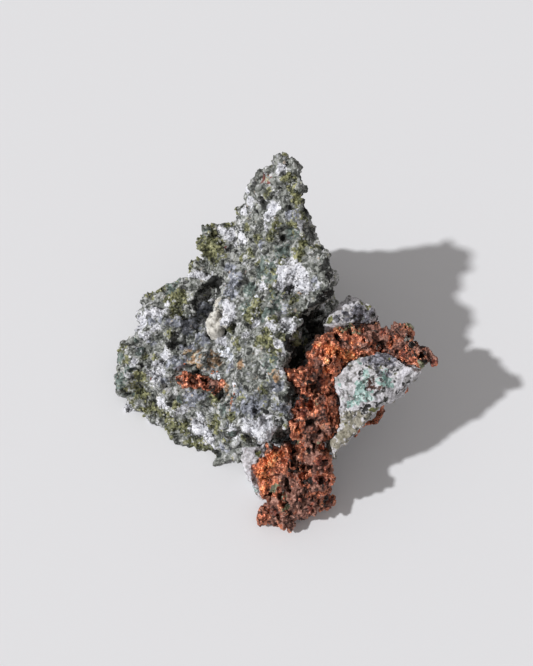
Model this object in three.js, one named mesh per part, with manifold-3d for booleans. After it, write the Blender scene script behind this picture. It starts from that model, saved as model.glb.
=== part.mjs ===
// A hand-size specimen of native copper: a knobbly basalt matrix that rises to one peak, a pale slab of
// zeolite-rich rock that juts out on its right, and the branching copper vein that grew between the two.
// Millimetres, +Z up, +Y away from the viewer, +X to the right. The specimen rests on z = 0.
import * as THREE from "three";
import { ConvexHull } from "three/addons/math/ConvexHull.js";
import { ImprovedNoise } from "three/addons/math/ImprovedNoise.js";
import { MarchingCubes } from "three/addons/objects/MarchingCubes.js";
import { mergeVertices } from "three/addons/utils/BufferGeometryUtils.js";
import Module from "manifold-3d";

const wasm = await Module();
wasm.setup();

// Driving dimensions
// A surface is drawn on a cubic lattice: the spacing of its points, how many along a side, and its middle
const rockLattice = { spacing: 2.4, cells: 40, middle: [0, -1, 21] };
const copperLattice = { spacing: 1.9, cells: 36, middle: [15, -17, 15] };
const knobLattice = { spacing: 1.3, cells: 16, middle: [-8.8, 2.4, 18] };
const blebLattice = { spacing: 1.3, cells: 20, middle: [-11.4, -7.6, 12.4] };
const latticeTurn = new THREE.Euler(0.45, 0.3, 0.6); // keeps the facets off the axes
const contactGap = 0.35; // clearance between two minerals that grew against each other
const blend = 1.5; // how softly two masses run into each other

// Each mineral is a sum of blocks, given by their corner points, and of knobs; pits are taken out of it.
// A knob or a pit is an ellipsoid: its middle, its three half-sizes, and how it is turned in degrees.
const rockBlocks = {
  peak: [
    [0.4, 22, 40.8], [4, 22.4, 41.4], [7.4, 21, 41.8], [9.2, 15.9, 41.2], [12, 7.5, 36.2], [14, 1.6, 32.4],
    [-4, 27.8, 30], [-5.8, 27.8, 22], [2, 29, 24], [8.5, 25, 24], [12, 8, 14], [-12, 22, 4], [9, 30, 3], [15, 6, 4],
    [2, 0, 26], [-4, 0, 8],
  ],
  flank: [
    [-7, 20, 21], [-12.8, 17, 19.5], [-18.4, 13, 15.6], [-22.6, 12.4, 12.8], [-26.4, 10.8, 12], [-29, 5.4, 9],
    [-31.8, -0.5, 5], [-31.8, -5.2, 3], [-31.6, -9, -1], [-24.2, -11.6, -2], [-15.4, -17.6, -2], [-9, -18, -2],
    [6, 4, 28], [0, -12, 16], [0, 18, 24], [-8, 24, -2], [-26, 11, -2], [6, -14, 0],
  ],
  front: [
    [10.4, -1.2, 31.4], [8, -2.6, 31], [5.6, -5, 30.4], [4.6, -8.4, 29.4], [4.4, -11, 28.2], [4.6, -18, 24],
    [5.4, -20.4, 18], [3.4, -21.6, 15], [-3.6, -20.6, 1], [-9, -18, 0], [-4, -16.5, 18], [-5, 0, 24],
    [10, 2, 8], [6, -16, 2],
  ],
};
const rockKnobs = {
  tip: { at: [5.4, 23.8, 40.4], size: [2.6, 2.8, 4.4], turn: [0, 0, 0] },
  leftShoulder: { at: [-8.8, 23.4, 19], size: [4.4, 5, 5.5], turn: [0, 0, 0] },
  upperLeft: { at: [-20.8, 9.2, 11.4], size: [4.8, 4.2, 4], turn: [0, 0, -30] },
  leftEnd: { at: [-27.5, -1.5, 5.5], size: [5, 6.5, 5], turn: [0, 0, 0] },
  ridge: { at: [11.4, 4.5, 31.6], size: [3, 4, 4], turn: [0, 0, 20] },
  frontLobe: { at: [-0.5, -17, 15], size: [5, 4, 6], turn: [0, 0, 0] },
  backFoot: { at: [4, 28, 6], size: [8, 5, 7], turn: [0, 0, 0] },
  rightFoot: { at: [12.5, 13, 6], size: [5, 7, 8], turn: [0, 0, 0] },
  rightWall: { at: [10, 10, 21], size: [4.4, 6, 7], turn: [0, 10, 0] },
  leftBack: { at: [-12, 20, 7], size: [7, 6, 6], turn: [0, 0, -30] },
  leftSaddle: { at: [-16.4, 14.2, 13.4], size: [4, 3.2, 3.6], turn: [0, 0, 0] },
  peakShoulder: { at: [1.8, 23.8, 34.6], size: [2.4, 2.4, 3.4], turn: [0, 0, 0] },
};
const rockPits = {
  cleft: { at: [-12, 6.6, 18.6], size: [2.2, 5.4, 4.6], turn: [0, 0, -41] },
  hollow: { at: [-16.5, 1.6, 15.5], size: [3.2, 2.6, 3], turn: [0, 0, 0] },
  behindRidge: { at: [14, 1.4, 24], size: [3, 5, 6], turn: [0, 0, 0] },
  vein: { at: [7.8, -6.2, 25], size: [2.4, 6, 6.5], turn: [0, 0, -22] },
  underLobe: { at: [3.4, -20.6, 11], size: [3.6, 3, 4.6], turn: [0, 0, 0] },
};

const slabBlocks = {
  wing: [
    [26.8, -14.4, 26], [32.2, -9.8, 24.2], [28.6, -11, 26], [32, -8, 21.4], [24.8, -16.2, 21.8], [23.2, -18, 17],
    [19.6, -19.2, 15], [15.8, -24.8, 18], [15, -25.6, 12.6], [12.6, -25.2, 14.4], [14.2, -12.4, 25.6],
    [15, -18, 23.4], [12, -8, 24.4], [20.3, -6, 24.4], [27, -6.6, 22.6],
    [10, -6, 10], [12, -18, 6], [21, -5, 12], [18, 0, 14],
  ],
  greyKnob: [
    [15.2, 2.4, 29.8], [18.9, 3.4, 29.8], [22.2, 2.4, 27.6], [24.4, 0.8, 22.8], [17, -3, 24.4], [14, -4, 22],
    [12, 3, 8], [20, 4, 9], [22, -4, 12], [6, -8, 8], [7, -4, 17],
  ],
  crust: [
    [-3.6, -21.6, 9.4], [-2, -26.2, 7.2], [-0.8, -28.6, 4], [-2.2, -23, 0], [0, -29, 0], [6, -26, 0], [10, -16, 0],
    [10, -16, 9], [12, -22, 4], [-1.6, -20.4, 10.4],
  ],
};

const copperBlocks = {
  foot: [
    [7, -34.2, 4.4], [6.4, -34.2, 0.6], [1, -33.8, 1], [-0.8, -30.4, 5.5], [-1.6, -27, 8.8], [-1.2, -24.8, 13],
    [2.4, -22.6, 16.8], [5.4, -21, 18.6], [14.2, -23.6, 15], [13.4, -26.4, 11.6], [13.2, -29, 8], [10.8, -33.4, 6.6],
    [10, -33.4, 0], [2, -32, 0], [3, -24, 3], [12.4, -24, 3],
  ],
  limb: [
    [5.9, -14.4, 22.8], [6.6, -10.4, 24.8], [9, -7.8, 26.6], [10.8, -4.6, 27.2], [13.6, -4.4, 27.6],
    [17.3, -4, 26.4], [14.2, -8.6, 25.6], [12.8, -11.4, 25.6], [13.8, -15.6, 23.8], [14.5, -19.8, 20.6],
    [14.3, -23.4, 15],
    [5.8, -21.6, 18], [9.4, -14, 16], [12, -6, 19], [9, -22, 9],
  ],
};
const copperKnobs = {
  armRoot: { at: [18.5, -4.8, 23.2], size: [4.9, 3.5, 3.5], turn: [0, 0, 6] },
  arm: { at: [24.3, -3.2, 22], size: [5.2, 3.3, 3.3], turn: [0, 0, 6] },
  armEnd: { at: [29, -2, 21.2], size: [2.9, 2.8, 2.8], turn: [0, 0, 0] },
  hook: { at: [30.6, -7.2, 24.4], size: [3.9, 2.8, 2.6], turn: [0, 0, -40] },
  limbBulge: { at: [8.8, -11.8, 23.4], size: [3, 3.2, 3], turn: [0, 0, 0] },
  waist: { at: [12.2, -25, 11.4], size: [3.2, 4, 4.4], turn: [0, 0, 0] },
  spur: { at: [11.8, -29.6, 4.2], size: [2.4, 2.1, 2.4], turn: [0, 0, 0] },
};

const calciteKnobs = {
  crystal: { at: [-8.9, 3, 17.7], size: [1.9, 3.3, 2.2], turn: [0, 0, 8] },
};
const blebKnobs = {
  left: { at: [-14.4, -6.6, 11.3], size: [2.9, 2.1, 1.5], turn: [0, 0, 0] },
  bridge: { at: [-11.6, -7.4, 11.7], size: [2.6, 1.3, 1.1], turn: [0, 0, 0] },
  right: { at: [-8.6, -8.6, 12.5], size: [3, 1.6, 1.3], turn: [0, 0, 0] },
};

const toRadians = (degrees) => degrees.map(THREE.MathUtils.degToRad);

// Every depth function tells how far inside a mass a point lies, in millimetres; negative outside.
function blockDepth(corners) {
  const hull = new ConvexHull().setFromPoints(corners.map((corner) => new THREE.Vector3(...corner)));
  return (point) => Math.min(...hull.faces.map((face) => face.constant - face.normal.dot(point)));
}

function knobDepth({ at, size, turn }) {
  const middle = new THREE.Vector3(...at);
  const unturn = new THREE.Quaternion().setFromEuler(new THREE.Euler(...toRadians(turn))).invert();
  const halves = new THREE.Vector3(...size);
  return (point) => {
    const inUnits = point.clone().sub(middle).applyQuaternion(unturn).divide(halves);
    return (1 - inUnits.length()) * Math.min(...size);
  };
}

function smoothMax(a, b, softness) {
  const overlap = Math.max(softness - Math.abs(a - b), 0);
  return Math.max(a, b) + (overlap * overlap) / (4 * softness);
}

const perlin = new ImprovedNoise();
const wave = (p, length, height, offset) =>
  height * perlin.noise(p.x / length + offset, p.y / length - offset, p.z / length + offset);

function massDepth(blocks, knobs, pits, rough) {
  const solids = [...Object.values(blocks).map(blockDepth), ...Object.values(knobs).map(knobDepth)];
  const holes = Object.values(pits).map(knobDepth);
  return (point) => {
    const bent = point.clone();
    bent.x += wave(point, 13, rough.bend, 3.1);
    bent.y += wave(point, 13, rough.bend, 7.7);
    bent.z += wave(point, 13, rough.bend, 11.3);
    let depth = -100;
    for (const solid of solids) depth = smoothMax(depth, solid(bent), blend);
    depth += rough.lumps * (2 * Math.abs(wave(point, 8, 1, 21.9)) - 0.4) + wave(point, 4.6, rough.grit, 31.4);
    for (const hole of holes) depth = -smoothMax(-depth, hole(bent), blend);
    return depth;
  };
}

// The closed surface where the depth equals a level.
function solidAt(depthAt, level, { spacing, cells, middle }) {
  const cubes = new MarchingCubes(cells, new THREE.MeshStandardMaterial(), false, false, 40000);
  const half = cells / 2;
  const toWorld = new THREE.Matrix4().compose(
    new THREE.Vector3(...middle),
    new THREE.Quaternion().setFromEuler(latticeTurn),
    new THREE.Vector3().setScalar(half * spacing),
  );
  const nearest = spacing / 30; // keeps the surface off the lattice points, where facets would shrink to nothing
  const point = new THREE.Vector3();
  for (let k = 0; k < cells; k++)
    for (let j = 0; j < cells; j++)
      for (let i = 0; i < cells; i++) {
        point.set(i - half, j - half, k - half).divideScalar(half).applyMatrix4(toWorld);
        const depth = depthAt(point) - level;
        cubes.setCell(i, j, k, Math.abs(depth) < nearest ? nearest * Math.sign(depth || 1) : depth);
      }
  cubes.isolation = 0;
  cubes.update();
  const geometry = new THREE.BufferGeometry();
  const corners = cubes.positionArray.slice(0, cubes.count * 3);
  geometry.setAttribute("position", new THREE.BufferAttribute(corners, 3));
  return toSolid(geometry.applyMatrix4(toWorld));
}

function toSolid(geometry) {
  const merged = mergeVertices(geometry, 1e-3);
  const vertProperties = merged.attributes.position.array;
  return new wasm.Manifold(new wasm.Mesh({ numProp: 3, vertProperties, triVerts: merged.index.array }));
}

function biggestBody(solid) {
  return solid.decompose().sort((a, b) => b.volume() - a.volume())[0];
}

function toMesh(name, solid, look) {
  const { vertProperties, triVerts } = solid.getMesh();
  const geometry = new THREE.BufferGeometry();
  geometry.setAttribute("position", new THREE.BufferAttribute(vertProperties, 3));
  geometry.setIndex(new THREE.BufferAttribute(triVerts, 1));
  geometry.computeVertexNormals();
  const mesh = new THREE.Mesh(geometry, new THREE.MeshStandardMaterial(look));
  mesh.name = name;
  return mesh;
}

const underTheFloor = toSolid(
  new THREE.BoxGeometry(200, 200, 80).deleteAttribute("normal").deleteAttribute("uv").translate(0, 0, -40),
);

const rockDepth = massDepth(rockBlocks, rockKnobs, rockPits, { bend: 1.8, lumps: 1.8, grit: 1.3 });
const slabDepth = massDepth(slabBlocks, {}, { vein: rockPits.vein }, { bend: 1.2, lumps: 1.2, grit: 1 });
const copperDepth = massDepth(copperBlocks, copperKnobs, {}, { bend: 1.2, lumps: 1.6, grit: 2 });
const calciteDepth = massDepth({}, calciteKnobs, {}, { bend: 0, lumps: 0.4, grit: 0.5 });
const blebDepth = massDepth({}, blebKnobs, {}, { bend: 1.4, lumps: 0.4, grit: 0.9 });

const whole = (depthAt, lattice) => solidAt(depthAt, 0, lattice).subtract(underTheFloor);

// A mineral makes room for what it grew against: the other's solid and the clearance around it.
function clearOf(solid, other, otherDepth, lattice) {
  return solid.subtract(solidAt(otherDepth, -contactGap, lattice)).subtract(other);
}

const copper = biggestBody(whole(copperDepth, copperLattice));
const calcite = biggestBody(whole(calciteDepth, knobLattice));
const bleb = biggestBody(whole(blebDepth, blebLattice));

let rock = clearOf(whole(rockDepth, rockLattice), copper, copperDepth, copperLattice);
rock = clearOf(rock, calcite, calciteDepth, knobLattice);
rock = biggestBody(clearOf(rock, bleb, blebDepth, blebLattice));

let slab = clearOf(whole(slabDepth, rockLattice), copper, copperDepth, copperLattice);
slab = biggestBody(clearOf(slab, rock, rockDepth, rockLattice));

const specimen = new THREE.Group();
specimen.add(
  toMesh("matrix_rock", rock, { color: 0x59675a, roughness: 0.95 }),
  toMesh("pale_slab", slab, { color: 0xa9aca8, roughness: 0.9 }),
  toMesh("copper_vein", copper, { color: 0x9a4a2c, roughness: 0.45, metalness: 1 }),
  toMesh("copper_bleb", bleb, { color: 0x9a4a2c, roughness: 0.45, metalness: 1 }),
  toMesh("calcite_crystal", calcite, { color: 0xd8cfbf, roughness: 0.6 }),
);

// The origin is the middle of the underside of the bounding box.
const bounds = new THREE.Box3().setFromObject(specimen);
const middle = bounds.getCenter(new THREE.Vector3());
specimen.position.set(-middle.x, -middle.y, -bounds.min.z);

export default specimen;
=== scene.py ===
import math
import random

import bmesh
import bpy
import numpy as np
from mathutils import Matrix, Vector
from mathutils.bvhtree import BVHTree


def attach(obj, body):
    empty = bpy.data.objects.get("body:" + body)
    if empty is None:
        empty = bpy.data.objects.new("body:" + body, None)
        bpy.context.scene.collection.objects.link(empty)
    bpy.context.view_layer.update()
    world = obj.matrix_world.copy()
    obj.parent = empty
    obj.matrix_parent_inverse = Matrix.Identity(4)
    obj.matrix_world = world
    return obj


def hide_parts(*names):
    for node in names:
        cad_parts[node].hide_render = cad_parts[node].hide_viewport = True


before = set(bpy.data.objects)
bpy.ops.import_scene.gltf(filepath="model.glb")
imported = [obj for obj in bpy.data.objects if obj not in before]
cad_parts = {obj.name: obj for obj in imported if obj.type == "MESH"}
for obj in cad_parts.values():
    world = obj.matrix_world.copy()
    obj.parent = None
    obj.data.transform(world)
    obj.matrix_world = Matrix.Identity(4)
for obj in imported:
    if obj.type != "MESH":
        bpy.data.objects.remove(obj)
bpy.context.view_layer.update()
mm = 0.001
print("frame loaded:", ", ".join(sorted(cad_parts)))

# The photograph's view: steeply down on the specimen from the front.
view = {
    "position": (0.902 * mm, -66.134 * mm, 136 * mm),
    "tilt": 30,  # degrees away from straight down
    "focal": 668,  # in pixels of the photograph
    "width": 533,
    "height": 666,
    "sensor": 36,  # in mm
}


def makeCamera():
    data = bpy.data.cameras.new("camera")
    data.sensor_width = view["sensor"]
    data.lens = view["focal"] / view["height"] * view["sensor"]  # the sensor spans the taller side
    data.clip_start = 5 * mm  # everything lies much farther away
    made = bpy.data.objects.new("camera", data)
    made.location = view["position"]
    made.rotation_euler = (math.radians(view["tilt"]), 0, 0)
    bpy.context.scene.collection.objects.link(made)
    bpy.context.scene.camera = made
    return made


camera = makeCamera()


# Meshes: copies of the solids, voxel remeshing, and places found by a pixel of the photograph.


def meshObject(name, mesh):
    made = bpy.data.objects.new(name, mesh)
    bpy.context.scene.collection.objects.link(made)
    return made


def skinObject(name, skin):
    mesh = bpy.data.meshes.new(name)
    skin.to_mesh(mesh)
    skin.free()
    return meshObject(name, mesh)


def weldedCopy(node, name):
    # The solid's loose triangles, merged into one closed skin in a mesh of its own.
    skin = bmesh.new()
    skin.from_mesh(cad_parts[node].data)
    same = 0.002 * mm  # corners nearer than this are one
    bmesh.ops.remove_doubles(skin, verts=skin.verts, dist=same)
    made = skinObject(name, skin)
    made.data.materials.clear()
    return made


def plainMesh(body):
    # What the modifiers make of the body, kept as its own plain mesh.
    graph = bpy.context.evaluated_depsgraph_get()
    made = bpy.data.meshes.new_from_object(
        body.evaluated_get(graph), preserve_all_data_layers=True, depsgraph=graph
    )
    old = body.data
    body.modifiers.clear()
    body.data = made
    made.name = body.name
    bpy.data.meshes.remove(old)
    return body


def remesh(body, voxel, smoothing=0):
    cells = body.modifiers.new("cells", "REMESH")
    cells.mode = "VOXEL"
    cells.voxel_size = voxel
    if smoothing:
        soft = body.modifiers.new("soft", "SMOOTH")
        soft.factor = 0.5
        soft.iterations = smoothing
    return plainMesh(body)


def surfaceTree(things):
    points, faces = [], []
    for thing in things:
        start = len(points)
        points += [v.co.copy() for v in thing.data.vertices]
        faces += [[start + i for i in p.vertices] for p in thing.data.polygons]
    return BVHTree.FromPolygons(points, faces)


cadTree = surfaceTree(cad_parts.values())


def rayAt(x, y):
    forward = Vector((x - view["width"] / 2, view["height"] / 2 - y, -view["focal"]))
    return Vector(view["position"]), (camera.rotation_euler.to_matrix() @ forward).normalized()


def surfaceAt(x, y):
    # Place, outward normal and metres per pixel of what the photograph shows at that pixel.
    start, along = rayAt(x, y)
    place, normal, _, distance = cadTree.ray_cast(start, along)
    if place is None:  # the ray misses: the point that it passes nearest to, from 80 mm on
        near = [cadTree.find_nearest(start + along * reach * mm) for reach in range(80, 180, 2)]
        place, normal, *_ = min(near, key=lambda found: found[3])
        distance = (place - start).length
    return place, normal, distance / view["focal"]


def placeAt(x, y, height):
    start, along = rayAt(x, y)
    return start + along * ((height * mm - start.z) / along.z)


def addBall(skin, centre, radius):
    where = Matrix.Translation(centre)
    bmesh.ops.create_icosphere(skin, subdivisions=2, radius=radius * mm, matrix=where)


def strandObject(name, strands):
    # Rounded strands through places of the photograph, as (x, y, height in mm, radius in mm).
    steps = 5
    skin = bmesh.new()
    for strand in strands:
        for near, far in zip(strand, strand[1:]):
            for i in range(steps + 1):
                x, y, height, radius = (a + (b - a) * i / steps for a, b in zip(near, far))
                addBall(skin, placeAt(x, y, height), radius)
    return skinObject(name, skin)


def addLumps(body, lumps):
    # Knobs the solid leaves out, as (x, y, radius in mm), sunk into what carries them.
    sink = 0.45  # of the radius
    skin = bmesh.new()
    skin.from_mesh(body.data)
    for x, y, radius in lumps:
        place, normal, _ = surfaceAt(x, y)
        addBall(skin, place - normal * radius * sink * mm, radius)
    skin.to_mesh(body.data)
    skin.free()


def coordinates(mesh):
    flat = np.empty(len(mesh.vertices) * 3)
    mesh.vertices.foreach_get("co", flat)
    return flat.reshape(-1, 3)


def digPits(body, pits):
    # Holes that go down along the line of sight, as (x, y, radius in pixels, depth in mm).
    points = coordinates(body.data)
    moved = points.copy()
    for x, y, radius, depth in pits:
        place, _, pixel = surfaceAt(x, y)
        away = np.linalg.norm(points - np.array(place), axis=1) / (radius * pixel)
        share = np.clip(1 - away**2, 0, 1)[:, None] ** 1.5  # a round bowl with a soft rim
        moved += share * np.array(rayAt(x, y)[1]) * depth * mm
    body.data.vertices.foreach_set("co", moved.ravel())
    body.data.update()


def trimOutline(body, trims):
    # Notches in the outline, as (x, y, radius) of circles in the photograph that stay empty.
    points = coordinates(body.data)
    for x, y, radius in trims:
        start, along = (np.array(v) for v in rayAt(x, y))
        reach = (points - start) @ along
        aside = points - start - reach[:, None] * along
        gap = np.linalg.norm(aside, axis=1)
        clear = reach / view["focal"] * radius
        inside = gap < clear
        points[inside] += (aside / gap[:, None] * (clear - gap)[:, None])[inside]
    body.data.vertices.foreach_set("co", points.ravel())
    body.data.update()


# Mineral marks: each mineral's patches as radius -> places (x, y), in pixels of the photograph.


def placeMarks(marks):
    placed = []
    for mineral, sizes in marks.items():
        for radius, spots in sizes.items():
            for place, _, pixel in (surfaceAt(x, y) for x, y in spots):
                placed.append((mineral, place, radius * pixel))
    return placed


def mineralsOf(marks):
    return sorted(set(marks) - {"plain"})


def hiddenMarks(body, mix, seed):
    # The same minerals on the sides that the photograph doesn't show: the mix gives how many
    # places are tried, how large the marks are, and each mineral's share.
    draw = random.Random(seed)
    tree = surfaceTree([body])
    eye = Vector(view["position"])
    names = sorted(mix["shares"])
    placed = []
    polygons = body.data.polygons
    for _ in range(mix["tries"]):
        face = polygons[draw.randrange(len(polygons))]
        mineral = draw.choices(names, [mix["shares"][name] for name in names])[0]
        radius = draw.uniform(*mix["radius"]) * mm
        start = face.center + face.normal * 0.2 * mm  # clear of the face itself
        seen = tree.ray_cast(start, (eye - start).normalized())[0] is None
        if not seen:
            placed.append((mineral, face.center.copy(), radius))
    return placed


def paintMinerals(body, placed, minerals):
    # Each mineral's share of the surface, kept as a point attribute under its name.
    unmarked = 0.12  # what a place without marks weighs
    block = 20000  # points at a time
    points = coordinates(body.data)
    kinds, centres, radii = (np.array(column) for column in zip(*placed))
    shares = {mineral: np.zeros(len(points), np.float32) for mineral in minerals}
    for start in range(0, len(points), block):
        part = points[start : start + block]
        away = np.linalg.norm(part[:, None, :] - centres[None], axis=2) / radii
        weight = np.exp(-(away**2))
        whole = weight.sum(axis=1) + unmarked
        for mineral in minerals:
            shares[mineral][start : start + block] = weight[:, kinds == mineral].sum(axis=1) / whole
    for mineral, share in shares.items():
        layer = body.data.attributes.new(mineral, "FLOAT", "POINT")
        layer.data.foreach_set("value", share)


# Node trees, for shapes and for materials.


def fillInputs(tree, sockets, values):
    for key, value in values.items():
        if isinstance(value, bpy.types.NodeSocket):
            tree.links.new(value, sockets[key])
        else:
            sockets[key].default_value = value


def addNode(tree, kind, inputs=None, **settings):
    node = tree.nodes.new(kind)
    for key, value in settings.items():
        setattr(node, key, value)
    fillInputs(tree, node.inputs, inputs or {})
    return node


def calc(tree, operation, *values, clamp=False):
    inputs = dict(enumerate(values))
    return addNode(tree, "ShaderNodeMath", inputs, operation=operation, use_clamp=clamp).outputs[0]


def vectorCalc(tree, operation, *values):
    sockets = (0, "Scale") if operation == "SCALE" else (0, 1)
    inputs = dict(zip(sockets, values))
    return addNode(tree, "ShaderNodeVectorMath", inputs, operation=operation).outputs[0]


def centred(tree, value, amount):
    # A random value of 0 to 1 as one that goes either way, times the amount.
    return calc(tree, "MULTIPLY", calc(tree, "SUBTRACT", value, 0.5), amount)


def leaning(tree, colour, amount):
    # A random colour as a vector that points any way, times the amount.
    return vectorCalc(tree, "SCALE", vectorCalc(tree, "SUBTRACT", colour, (0.5, 0.5, 0.5)), amount)


def smoothStep(tree, value, low, high):
    inputs = {"Value": value, "From Min": low, "From Max": high}
    node = addNode(tree, "ShaderNodeMapRange", inputs, interpolation_type="SMOOTHSTEP")
    return node.outputs["Result"]


def perMetre(tree, size):
    return calc(tree, "DIVIDE", 1.0, size)


def noise(tree, place, scale, detail, output="Fac"):
    inputs = {"Vector": place, "Scale": scale, "Detail": detail}
    return addNode(tree, "ShaderNodeTexNoise", inputs).outputs[output]


def voronoi(tree, place, scale, **settings):
    inputs = {"Vector": place, "Scale": scale}
    return addNode(tree, "ShaderNodeTexVoronoi", inputs, **settings).outputs


def parts(tree, vector):
    return addNode(tree, "ShaderNodeSeparateXYZ", {0: vector}).outputs


def newGroup(name, kind, inputs, outputs):
    # A node group with named sockets, each given by its start value or by its type.
    tree = bpy.data.node_groups.new(name, kind)
    for side, sockets in (("INPUT", inputs), ("OUTPUT", outputs)):
        for title, start in sockets.items():
            typed = isinstance(start, str)
            socketType = start if typed else "Vector" if isinstance(start, tuple) else "Float"
            socket = tree.interface.new_socket(
                title, in_out=side, socket_type="NodeSocket" + socketType
            )
            if not typed:
                socket.default_value = start
    return tree, tree.nodes.new("NodeGroupInput").outputs, tree.nodes.new("NodeGroupOutput").inputs


def addModifier(body, tree, values):
    modifier = body.modifiers.new(tree.name, "NODES")
    modifier.node_group = tree
    for item in tree.interface.items_tree:
        if item.item_type == "SOCKET" and item.in_out == "INPUT" and item.name in values:
            modifier[item.identifier] = values[item.name]


def position(tree):
    return addNode(tree, "GeometryNodeInputPosition").outputs[0]


def alongNormal(tree, rise):
    return vectorCalc(tree, "SCALE", addNode(tree, "GeometryNodeInputNormal").outputs[0], rise)


def moveShape(tree, shape, move):
    return addNode(tree, "GeometryNodeSetPosition", {"Geometry": shape, "Offset": move}).outputs[0]


def realize(tree, shape):
    return addNode(tree, "GeometryNodeRealizeInstances", {"Geometry": shape}).outputs[0]


def storeValue(tree, shape, name, value, domain="POINT", dataType="FLOAT"):
    inputs = {"Geometry": shape, "Name": name, "Value": value}
    kind = "GeometryNodeStoreNamedAttribute"
    return addNode(tree, kind, inputs, domain=domain, data_type=dataType).outputs[0]


def endTree(tree, shape, material, made):
    # Nothing below the floor, all instances real, and the material set.
    x, y, z = parts(tree, position(tree))
    kept = addNode(tree, "ShaderNodeCombineXYZ", {0: x, 1: y, 2: calc(tree, "MAXIMUM", z, 0.0)})
    inputs = {"Geometry": shape, "Position": kept.outputs[0]}
    shape = addNode(tree, "GeometryNodeSetPosition", inputs).outputs[0]
    inputs = {"Geometry": realize(tree, shape), "Material": material}
    dressed = addNode(tree, "GeometryNodeSetMaterial", inputs)
    fillInputs(tree, made, {"Geometry": dressed.outputs[0]})
    return tree


def knobTree():
    # Bends the smooth form and swells it into knobs, for what is larger than a grain.
    inputs = {
        "Geometry": "Geometry",
        "Bend Size": 7 * mm,
        "Bend": 1 * mm,
        "Knob Size": 3.6 * mm,
        "Knob Height": 0.8 * mm,
    }
    tree, given, made = newGroup("knobs", "GeometryNodeTree", inputs, {"Geometry": "Geometry"})
    place = position(tree)
    bends = noise(tree, place, perMetre(tree, given["Bend Size"]), 3.0, "Color")
    # Noise keeps close to its middle, so four times of it give about the whole bend.
    bend = leaning(tree, bends, calc(tree, "MULTIPLY", given["Bend"], 4.0))
    inputs = {
        "Vector": vectorCalc(tree, "ADD", place, bend),
        "Scale": perMetre(tree, given["Knob Size"]),
        "Smoothness": 0.25,
    }
    knob = addNode(tree, "ShaderNodeTexVoronoi", inputs, feature="SMOOTH_F1").outputs["Distance"]
    level = 0.45  # a knob rises nearer to its middle than this, and falls beyond
    rise = calc(tree, "MULTIPLY", calc(tree, "SUBTRACT", level, knob), given["Knob Height"])
    move = vectorCalc(tree, "ADD", bend, alongNormal(tree, rise))
    shape = moveShape(tree, given["Geometry"], move)
    fillInputs(tree, made, {"Geometry": realize(tree, shape)})
    return tree


def grainTree(name, metric):
    # Covers a fine mesh with grains, pits and roughness, and keeps each grain's random tone and
    # how high the surface stands for the material.
    inputs = {
        "Geometry": "Geometry",
        "Grain Size": 1.1 * mm,
        "Grain Height": 0.35 * mm,
        "Step": 0.3,
        "Warp": 0.5,
        "Pit Size": 2.2 * mm,
        "Pit Depth": 0.8 * mm,
        "Pit Share": 0.35,
        "Fine Size": 0.6 * mm,
        "Fine Height": 0.1 * mm,
        "Stretch": (1, 1, 1),
        "Sink": 0,
        "Material": "Material",
    }
    tree, given, made = newGroup(name, "GeometryNodeTree", inputs, {"Geometry": "Geometry"})
    place = vectorCalc(tree, "MULTIPLY", position(tree), given["Stretch"])
    grainScale = perMetre(tree, given["Grain Size"])
    warpNoise = noise(tree, place, grainScale, 2.0, "Color")
    warp = leaning(tree, warpNoise, calc(tree, "MULTIPLY", given["Warp"], given["Grain Size"]))
    warped = vectorCalc(tree, "ADD", place, warp)
    cell = voronoi(tree, warped, grainScale, distance=metric)
    crown = calc(tree, "SUBTRACT", 0.5, cell["Distance"])
    step = centred(tree, parts(tree, cell["Color"])[2], given["Step"])
    grain = calc(tree, "MULTIPLY", calc(tree, "ADD", crown, step), given["Grain Height"])
    pitNoise = noise(tree, warped, perMetre(tree, given["Pit Size"]), 1.5)
    # A pit starts where the noise passes the edge, and is at its full depth a rim's width on.
    noPits, allPits, rim = 0.8, 0.2, 0.14
    edge = calc(tree, "SUBTRACT", noPits, calc(tree, "MULTIPLY", given["Pit Share"], noPits - allPits))
    pit = smoothStep(tree, pitNoise, edge, calc(tree, "ADD", edge, rim))
    sunk = calc(tree, "MULTIPLY", pit, given["Pit Depth"])
    fineNoise = noise(tree, place, perMetre(tree, given["Fine Size"]), 1.0)
    fine = centred(tree, fineNoise, given["Fine Height"])
    rise = calc(tree, "SUBTRACT", calc(tree, "ADD", grain, fine), sunk)
    rise = calc(tree, "SUBTRACT", rise, given["Sink"])
    # How high the surface stands, which the materials use for painted shade in hollows.
    height = calc(tree, "SUBTRACT", calc(tree, "ADD", crown, 0.5), pit)
    shape = storeValue(tree, given["Geometry"], "tone", cell["Color"], dataType="FLOAT_VECTOR")
    shape = storeValue(tree, shape, "stand", height)
    shape = moveShape(tree, shape, alongNormal(tree, rise))
    return endTree(tree, shape, given["Material"], made)


def randomVector(tree, values):
    kind = "FunctionNodeRandomValue"
    return addNode(tree, kind, values, data_type="FLOAT_VECTOR").outputs["Value"]


def sameThrice(tree, value):
    return addNode(tree, "ShaderNodeCombineXYZ", dict.fromkeys((0, 1, 2), value)).outputs[0]


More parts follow.
